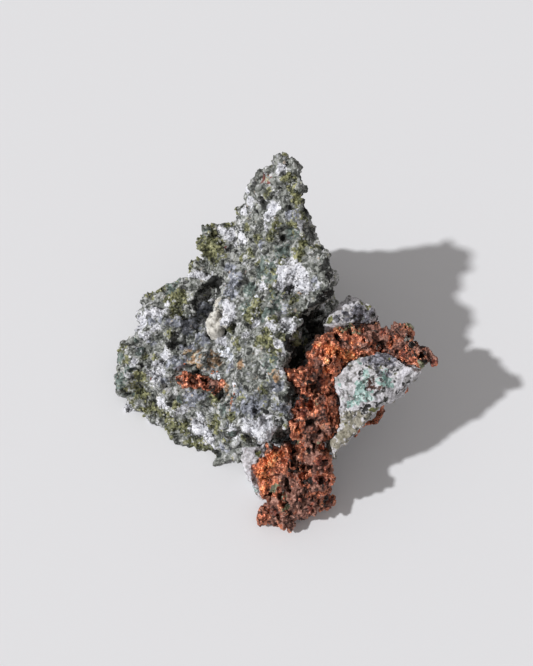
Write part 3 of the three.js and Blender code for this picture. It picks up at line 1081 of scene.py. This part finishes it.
paleSlab = {
    "coarse": 0.5 * mm,
    "smoothing": 3,
    "voxel": 0.24 * mm,
    "seed": 11,
    "relief": "grains",
    "lumps": [],
    "pits": [
        (362, 409, 3, 1), (356, 412, 3, 1), (368, 406, 3, 1), (370, 396, 3, 0.8), (378, 395, 2.5, 0.8),
        (384, 386, 2.5, 0.8), (390, 376, 2.5, 0.8), (374, 386, 3, 0.8), (349, 376, 2, 0.5),
    ],
    "trims": [
        (347, 456, 11), (359, 444, 11), (367, 436, 11), (375, 428, 11), (382, 421, 11), (389, 414, 11),
        (403, 407, 11), (424, 379, 6),
    ],
    "knobs": {"Bend Size": 5 * mm, "Bend": 0.35 * mm, "Knob Size": 2.8 * mm, "Knob Height": 0.7 * mm},
    "grains": {
        "Grain Size": 0.8 * mm, "Grain Height": 0.3 * mm, "Step": 0.5, "Warp": 0.9,
        "Pit Size": 1.4 * mm, "Pit Depth": 0.5 * mm, "Pit Share": 0.3,
        "Fine Size": 0.45 * mm, "Fine Height": 0.3 * mm, "Sink": 0.05 * mm,
    },
    "hidden": {
        "tries": 200,
        "radius": (0.9, 2.0),  # in mm
        "shares": {"plain": 3, "beige": 4, "mint": 1.5, "steel": 1, "olive": 1, "white": 2, "dark": 0.8},
    },
}

slabMarks = {
    "plain": {
        8: [(343, 380)],
        6: [(341, 374), (348, 388)],
        4: [(341, 398), (349, 372)],
        3: [(350, 396)],
    },
    "white": {
        5: [(250, 451), (250, 479)],
        4: [(349, 302), (334, 328), (352, 324), (373, 326), (344, 374), (400, 365), (399, 378), (406, 372),
            (390, 393), (380, 398), (341, 404), (337, 392), (247, 446), (249, 469)],
        3: [(343, 306), (335, 312), (325, 327), (398, 386), (352, 360), (246, 459), (253, 486), (362, 403),
            (355, 408)],
        2.5: [(368, 362)],
    },
    "mint": {
        5: [(358, 394), (362, 384), (355, 402)],
        4: [(388, 381), (364, 396), (252, 489)],
        3: [(366, 373), (384, 376), (395, 377), (392, 385), (381, 372), (349, 405), (371, 397), (366, 379),
            (360, 401), (241, 467)],
        2.5: [(378, 382), (386, 370)],
        2: [(372, 392)],
    },
    "steel": {
        6: [(360, 314)],
        5: [(366, 318), (383, 356), (374, 356), (379, 361), (349, 318)],
        4: [(349, 304), (366, 360), (391, 360), (344, 316), (387, 364), (371, 362), (357, 320), (391, 356),
            (378, 365), (336, 318)],
        3: [(358, 308), (373, 312), (393, 367), (389, 374), (380, 373), (355, 330)],
    },
    "olive": {
        4: [(327, 320), (258, 459)],
        3: [(369, 306), (370, 367), (376, 409), (257, 453), (423, 367), (372, 408)],
        2.5: [(381, 366), (396, 375)],
        2: [(343, 317), (362, 302)],
    },
    "beige": {
        6: [(349, 423), (343, 436)],
        5: [(358, 422)],
        4: [(337, 445), (367, 416), (350, 414)],
        3: [(360, 412)],
    },
    # Painted shadow in the crevice and in the slab's pits and gaps, with a few dark specks.
    "dark": {
        6: [(318, 328), (322, 318), (328, 309)],
        5: [(334, 300), (330, 303), (281, 447), (289, 449)],
        4: [(338, 294), (285, 441)],
        3: [(375, 312), (340, 319), (374, 394), (377, 363), (384, 392), (379, 319), (386, 398)],
        2.5: [(386, 366), (368, 366), (364, 413), (372, 414), (384, 390), (352, 317), (398, 392),
            (410, 382)],
        2.2: [(363, 409)],
        2: [(356, 413), (368, 406), (351, 411), (359, 409), (377, 406), (372, 378), (393, 370), (378, 372),
            (361, 372)],
        1.8: [(355, 416), (366, 410), (364, 419), (381, 403), (399, 369), (395, 381), (388, 371),
            (381, 380), (376, 401), (369, 372)],
        1.6: [(350, 406), (371, 406), (386, 401), (392, 364), (405, 367), (401, 376), (408, 375),
            (403, 384), (366, 388), (360, 379)],
    },
    "red": {3.5: [(370, 381), (371, 386)], 3: [(378, 390), (253, 494)], 2: [(404, 389)]},
}

slab = weldedCopy("pale_slab", "paleSlab")
slab = roughPiece(slab, paleSlab, placeMarks(slabMarks), mineralsOf(slabMarks), slabMaterial)
finishPiece(slab, "pale_slab")


# The copper.

copperVein = {
    "coarse": 0.45 * mm,
    "smoothing": 3,
    "voxel": 0.19 * mm,
    "seed": 23,
    "relief": "hackle",
    "lumps": [
        (330, 392, 1.3), (299, 374, 1.1), (295, 434, 1.2), (336, 331, 1.2), (349, 328, 1.1),
        (268, 467, 1.4), (405, 328, 1.0), (318, 415, 1.2), (285, 477, 1.2), (310, 490, 1.0),
        (290, 512, 1.2), (277, 500, 1.0), (394, 342, 1.0), (326, 345, 1.1), (342, 352, 1.2),
        (302, 450, 1.1), (328, 424, 1.0), (317, 365, 1.0), (262, 515, 0.9), (291, 524, 0.8),
        (327, 500, 1.0), (282, 447, 1.3), (288, 449, 1.4), (293, 446, 1.2), (263, 519, 0.8),
        (261, 523, 0.6), (289, 527, 0.8), (432, 361, 0.9), (331, 500, 0.8), (386, 332, 1.3),
        (380, 330, 1.2), (391, 333, 1.0),
    ],
    "pits": [
        (310, 382, 4, 2.6), (310, 404, 4, 3.0), (314, 398, 3, 2.2), (306, 475, 4, 3), (293, 460, 3, 2),
        (310, 451, 3, 2), (365, 341, 3, 2), (371, 345, 3, 1.5), (298, 470, 3, 2), (331, 437, 3, 2),
        (322, 448, 3, 1.6), (303, 395, 3, 1.8), (279, 488, 2.5, 1.5), (313, 470, 2.5, 1.8),
        (301, 496, 2.5, 1.5), (386, 345, 2.5, 1.5), (324, 372, 2, 1.2), (300, 440, 2, 1.4),
        (333, 366, 2.5, 1.2), (411, 345, 2.5, 1.5), (421, 354, 2.5, 1.5), (287, 455, 2.5, 1.5),
        (319, 432, 2, 1.4), (319, 502, 4, 3), (302, 477, 3, 2.5), (304, 468, 3, 2.5), (306, 483, 3, 2.5),
        (327, 436, 2.5, 2), (297, 463, 2.5, 2), (326, 460, 2.5, 1.6), (294, 485, 2, 1.4),
        (270, 495, 2, 1.2),
    ],
    "trims": [
        (322, 517, 10), (276, 531, 8), (258, 511, 7), (244, 482, 8), (342, 473, 12), (341, 486, 11),
        (424, 330, 10), (427, 342, 7), (331, 514, 8), (390, 312, 9), (400, 316, 8), (410, 316, 9),
        (421, 337, 6),
    ],
    "knobs": {"Bend Size": 3.5 * mm, "Bend": 0.4 * mm, "Knob Size": 3.0 * mm, "Knob Height": 2.0 * mm},
    "grains": {
        "Grain Size": 1.0 * mm, "Grain Height": 0.8 * mm, "Step": 0.8, "Warp": 1.1,
        "Pit Size": 1.9 * mm, "Pit Depth": 1.5 * mm, "Pit Share": 0.42,
        "Fine Size": 0.45 * mm, "Fine Height": 0.4 * mm, "Stretch": (1.3, 0.75, 0.9), "Sink": 0.15 * mm,
    },
    "hidden": {
        "tries": 240,
        "radius": (0.8, 1.8),  # in mm
        "shares": {"plain": 4, "bright": 1.5, "brown": 5, "red": 2, "olive": 0.8, "white": 0.6, "dark": 1.5},
    },
}

copperMarks = {
    "plain": {
        7: [(328, 392)],
        6: [(325, 401), (321, 423), (298, 374), (334, 336)],
        5: [(313, 420), (330, 412), (350, 335), (318, 347), (282, 462), (294, 432)],
        4: [(305, 426), (320, 428), (330, 440), (302, 440), (318, 412), (316, 372), (312, 340), (300, 450),
            (394, 344), (404, 329), (338, 365), (325, 415), (336, 417), (275, 480)],
        3: [(336, 328), (342, 327), (348, 328), (355, 327), (362, 325), (304, 392), (298, 415)],
    },
    # Painted highlight: the spots where fresh copper catches the sun.
    "bright": {
        6: [(263, 468)],
        5: [(268, 463), (263, 480)],
        4: [(331, 350), (337, 352), (344, 355), (351, 357), (275, 457), (294, 449), (262, 486)],
        3: [(326, 345), (338, 331), (352, 340), (297, 432), (318, 346), (299, 370), (327, 370)],
        2.5: [(389, 346)],
        2: [(301, 407), (300, 476), (325, 390), (294, 366), (302, 424), (283, 455), (408, 327), (326, 362),
            (330, 398)],
    },
    "brown": {
        7: [(317, 441), (318, 422), (284, 482)],
        6: [(297, 395), (380, 328), (375, 335), (292, 500), (300, 490), (395, 328), (380, 340)],
        5: [(319, 366), (390, 330), (312, 505), (268, 514), (289, 520), (308, 460), (320, 470), (316, 488),
            (328, 430), (408, 332), (392, 352), (370, 326), (425, 352), (318, 506), (304, 506)],
        4: [(344, 344), (314, 377), (356, 362), (366, 333), (400, 345), (432, 361), (274, 503), (314, 452),
            (365, 345), (322, 400), (309, 427), (281, 514), (299, 512), (418, 348), (428, 365), (322, 492),
            (306, 438)],
        3: [(342, 341), (332, 405)],
    },
    "red": {
        5: [(320, 462), (318, 478), (330, 500)],
        4: [(327, 468), (326, 480), (325, 492), (315, 500), (309, 508), (305, 488), (262, 520), (289, 525),
            (297, 402), (302, 412), (322, 384), (274, 512), (318, 434), (328, 446), (384, 334), (402, 352)],
        3: [(301, 500), (310, 425)],
    },
    # Painted shadow in the gap between foot and spur, in pits and under the tip.
    "dark": {
        5: [(327, 500), (420, 356)],
        4: [(412, 343), (332, 485), (305, 481), (319, 501), (325, 508)],
        3.5: [(310, 404)],
        3: [(417, 350), (410, 345), (398, 350), (310, 382), (306, 475), (322, 483), (280, 442), (422, 347),
            (404, 350), (334, 455), (416, 350), (427, 350), (432, 365), (418, 356), (425, 355), (304, 469),
            (309, 482), (315, 497), (288, 449), (282, 446), (387, 352)],
        2.5: [(293, 460), (310, 451), (365, 341), (331, 437), (371, 345), (303, 395), (326, 470),
            (322, 448), (327, 436), (297, 464), (300, 462), (331, 464), (305, 494)],
        2: [(404, 337), (290, 470), (313, 462), (322, 474), (360, 352)],
    },
    "olive": {
        4: [(284, 497), (423, 367)],
        3: [(286, 507), (420, 361), (428, 369), (278, 484), (320, 444)],
        2.5: [(288, 489), (270, 492), (316, 404), (274, 488)],
        2: [(382, 347)],
    },
    "white": {
        3.5: [(407, 337)],
        2.5: [(377, 345)],
        2: [(318, 437), (375, 331), (312, 410)],
        1.5: [(269, 503)],
    },
}

copperMinerals = mineralsOf(copperMarks)
vein = weldedCopy("copper_vein", "copperVein")
vein = roughPiece(vein, copperVein, placeMarks(copperMarks), copperMinerals, copper)
finishPiece(vein, "copper_vein")

# Small pieces have marks on the visible side only.
nothingHidden = {"tries": 0, "radius": (1, 1), "shares": {"plain": 1}}

copperBleb = {
    **copperVein,
    "lumps": [(186, 384, 1.1), (196, 386, 1.0), (222, 384, 0.9)],
    "trims": [],
    "pits": [(204, 377, 3, 1), (186, 382, 2.5, 0.8), (211, 383, 2.5, 0.8), (197, 370, 2, 0.6)],
    "knobs": {"Bend Size": 2.5 * mm, "Bend": 0.4 * mm, "Knob Size": 1.6 * mm, "Knob Height": 0.8 * mm},
    "grains": {**copperVein["grains"], "Sink": 0.6 * mm},
    "hidden": nothingHidden,
}
blebMarks = {
    # Painted highlight at one spot where the bleb catches the sun.
    "bright": {1.5: [(190, 374)]},
    "plain": {4: [(186, 377), (196, 376)], 3: [(206, 380), (196, 385)], 2.5: [(212, 379)]},
    "brown": {5: [(224, 386)], 4: [(216, 382)], 2: [(180, 378)]},
    "red": {3: [(188, 384), (200, 380), (222, 380)]},
    # Painted shade along the bleb's lower edges.
    "dark": {2.5: [(212, 389), (228, 391)], 2: [(176, 380)]},
}
bleb = weldedCopy("copper_bleb", "copperBleb")
bleb = roughPiece(bleb, copperBleb, placeMarks(blebMarks), copperMinerals, copper)
finishPiece(bleb, "copper_bleb")

# Thin ends of copper that hang from the slab's edge and curl at the vein's tip.
copperSprigs = {
    **copperBleb,
    "coarse": 0.2 * mm,
    "smoothing": 2,
    "voxel": 0.1 * mm,
    "pits": [],
    "knobs": {"Bend Size": 1.8 * mm, "Bend": 0.35 * mm, "Knob Size": 1.1 * mm, "Knob Height": 0.6 * mm},
    "grains": {
        "Grain Size": 0.6 * mm, "Grain Height": 0.35 * mm, "Step": 0.6, "Warp": 0.9,
        "Pit Size": 1.0 * mm, "Pit Depth": 0.3 * mm, "Pit Share": 0.25,
        "Fine Size": 0.3 * mm, "Fine Height": 0.2 * mm, "Sink": 0,
    },
    "strands": [
        [(394, 384, 21, 0.7), (404, 383, 20, 0.7), (405, 390, 19, 0.6), (400, 395, 19, 0.5)],
        [
            (372, 402, 18, 0.8), (381, 409, 16, 0.8), (379, 416, 16, 0.7), (371, 423, 15, 0.6),
            (362, 425, 15, 0.5),
        ],
        [(354, 420, 15, 0.7), (358, 429, 13, 0.6), (355, 435, 13, 0.45)],
        [(421, 354, 23, 0.6), (427, 350, 25, 0.5), (432, 355, 25, 0.5), (434, 362, 24, 0.8)],
        [(288, 517, 3, 1.3), (290, 525, 2, 1.0), (289, 530, 1.5, 0.6)],
        [(265, 512, 3, 1.4), (263, 520, 2, 1.2), (261, 523, 1.5, 0.8)],
        [(320, 507, 3, 0.9), (327, 503, 3, 1.3), (332, 500, 3, 0.9)],
    ],
}
sprigMarks = {
    "brown": {
        8: [(378, 415)],
        6: [(403, 389), (430, 356), (290, 524), (264, 518)],
        5: [(358, 430), (327, 503)],
    },
    "red": {4: [(434, 362), (262, 522), (330, 501)], 3: [(290, 529)]},
    # Painted shadow behind the hook and in the gap beside the spur.
    "dark": {3: [(424, 352), (321, 506)], 2: [(402, 394), (371, 423)]},
}
sprigs = strandObject("copperSprigs", copperSprigs["strands"])
sprigs = roughPiece(sprigs, copperSprigs, placeMarks(sprigMarks), copperMinerals, copper)
finishPiece(sprigs, None)


# The cream crystal.

creamCrystal = {
    "coarse": 0.35 * mm,
    "smoothing": 2,
    "voxel": 0.18 * mm,
    "seed": 3,
    "relief": "hackle",
    "lumps": [(217, 299, 0.7), (218, 305, 0.8), (215, 318, 0.9), (221, 322, 0.9)],
    "pits": [(221, 312, 2.5, 0.5), (214, 325, 2.5, 0.5)],
    "trims": [],
    "knobs": {"Bend Size": 3 * mm, "Bend": 0.35 * mm, "Knob Size": 2.0 * mm, "Knob Height": 0.45 * mm},
    "grains": {
        "Grain Size": 0.9 * mm, "Grain Height": 0.4 * mm, "Step": 0.7, "Warp": 0.5,
        "Pit Size": 1.4 * mm, "Pit Depth": 0.4 * mm, "Pit Share": 0.22,
        "Fine Size": 0.4 * mm, "Fine Height": 0.2 * mm, "Sink": -0.15 * mm,
    },
    "hidden": nothingHidden,
}
crystal = weldedCopy("calcite_crystal", "creamCrystal")
crystal = roughPiece(crystal, creamCrystal, rockPlaced, ["cream"], cream)
finishPiece(crystal, "calcite_crystal")


# Grains and crystals standing on the surfaces: carrier, tree, slot, material and the tree's values.

scatterFacts = {
    "oliveGrains": (rock, "grainScatter", "basalt", rockMaterial, {
        "Mineral": "olive", "Spacing": 0.8 * mm, "Least Size": 0.4 * mm, "Most Size": 0.9 * mm,
        "Threshold": 0.34, "Seed": 2}),
    "whiteGrains": (rock, "crystalScatter", "basalt", rockMaterial, {
        "Mineral": "white", "Spacing": 0.55 * mm, "Least Size": 0.25 * mm, "Most Size": 0.55 * mm,
        "Threshold": 0.4, "Seed": 4}),
    "copperSpecks": (rock, "crystalScatter", "native_copper", copper, {
        "Mineral": "metal", "Spacing": 0.5 * mm, "Least Size": 0.4 * mm, "Most Size": 0.8 * mm,
        "Threshold": 0.12, "Seed": 9}),
    "clearCrystals": (rock, "crystalScatter", "calcite", clear, {
        "Mineral": "clear", "Spacing": 0.35 * mm, "Least Size": 0.4 * mm, "Most Size": 1.0 * mm,
        "Threshold": 0.06, "Seed": 12}),
    # Crystals stand on the copper where its painted highlight lies.
    "copperGrains": (vein, "crystalScatter", "native_copper", copper, {
        "Mineral": "bright", "Spacing": 0.5 * mm, "Least Size": 0.25 * mm, "Most Size": 0.6 * mm,
        "Threshold": 0.35, "Seed": 7}),
}

for name, (carrier, treeName, slotName, material, values) in scatterFacts.items():
    grains = scattered(name, carrier, treeName, values, material)
    finishPiece(grains, None)


# Floor and light.

studio = {
    "floor": 3,  # in metres
    "floorColour": (0.785, 0.79, 0.815, 1),
    "sunFrom": (-0.706, -0.189, 0.682),  # the direction that the shadow gives
    "sunStrength": 2.75,
    "sunSoftness": 2.5,  # degrees
    "fillColour": (1.0, 0.965, 0.945, 1),
    "fillStrength": 0.36,
}


def makeStudio():
    bpy.ops.mesh.primitive_plane_add(size=studio["floor"])
    floor = bpy.context.object
    floor.name = "floor"
    material, tree, shader = newMaterial("paleFloor")
    fillInputs(tree, shader, {"Base Color": studio["floorColour"], "Roughness": 0.9})
    floor.data.materials.append(material)
    sun = bpy.data.lights.new("sun", "SUN")
    sun.energy = studio["sunStrength"]
    sun.angle = math.radians(studio["sunSoftness"])
    lamp = bpy.data.objects.new("sun", sun)
    lamp.rotation_euler = Vector(studio["sunFrom"]).to_track_quat("Z", "Y").to_euler()
    bpy.context.scene.collection.objects.link(lamp)
    world = bpy.data.worlds.new("fill")
    world.use_nodes = True
    tree = world.node_tree
    values = {"Color": studio["fillColour"], "Strength": studio["fillStrength"]}
    fillInputs(tree, tree.nodes["Background"].inputs, values)
    bpy.context.scene.world = world
    bpy.context.scene.view_settings.view_transform = "Standard"


makeStudio()
print("studio set")
